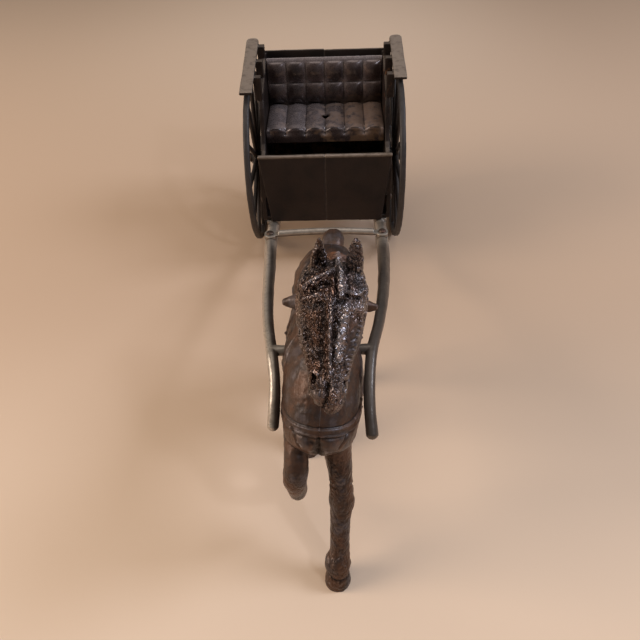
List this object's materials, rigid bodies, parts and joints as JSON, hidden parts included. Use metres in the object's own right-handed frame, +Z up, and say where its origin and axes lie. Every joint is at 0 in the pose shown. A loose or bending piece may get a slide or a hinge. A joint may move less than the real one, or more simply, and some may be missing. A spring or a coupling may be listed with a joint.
{
  "type": "toy horse carriage",
  "caption": "Cast iron toy cart drawn by one trotting horse: spoked wheels that spin, buttoned seat with a peg hole, curved shafts and a horse that rocks between them.",
  "frame": {"origin": "on the floor under the middle of the toy's bounding box", "axes": "+Z up; the horse faces -Y, so the toy's own left is +X; the axle runs along X"},
  "size_m": [0.0856, 0.27, 0.1262],
  "materials": {
    "body_iron": "worn black paint over brown cast iron, satin",
    "seat_iron": "worn brown cast iron with rust on the seat, satin",
    "wheel_iron": "black cast iron, satin",
    "shaft_iron": "rubbed grey cast iron, satin",
    "horse_iron": "pitted dark brown cast iron, shiny on the head",
    "rod_steel": "dull brown steel rod with peened ends"
  },
  "bodies": {
    "cart": {"body_left": "body_iron", "body_right": "body_iron", "seat": "seat_iron", "axle": "rod_steel", "shaft_left": "shaft_iron", "shaft_right": "shaft_iron", "cross_bar": "shaft_iron", "cross_bar_rivet_left": "rod_steel", "cross_bar_rivet_right": "rod_steel", "shaft_rivet_left_front": "rod_steel", "shaft_rivet_left_rear": "rod_steel", "shaft_rivet_right_front": "rod_steel", "shaft_rivet_right_rear": "rod_steel", "tie_rod_front": "rod_steel", "tie_rod_rear": "rod_steel"},
    "left_wheel": {"wheel_left": "wheel_iron"},
    "right_wheel": {"wheel_right": "wheel_iron"},
    "horse": {"horse_left": "horse_iron", "horse_right": "horse_iron", "horse_rivet_shoulder": "rod_steel", "horse_rivet_rump": "rod_steel"}
  },
  "joints": [
    {"name": "left_wheel_spin", "type": "hinge", "parent": "cart", "child": "left_wheel", "pos_m": [0.0376, 0.09003, 0.045], "axis": [1, 0, 0], "continuous": true},
    {"name": "right_wheel_spin", "type": "hinge", "parent": "cart", "child": "right_wheel", "pos_m": [-0.0376, 0.09003, 0.045], "axis": [1, 0, 0], "continuous": true},
    {"name": "horse_rock", "type": "hinge", "parent": "cart", "child": "horse", "pos_m": [0, -0.08697, 0.071], "axis": [1, 0, 0], "range_deg": [-15, 15]}
  ]
}
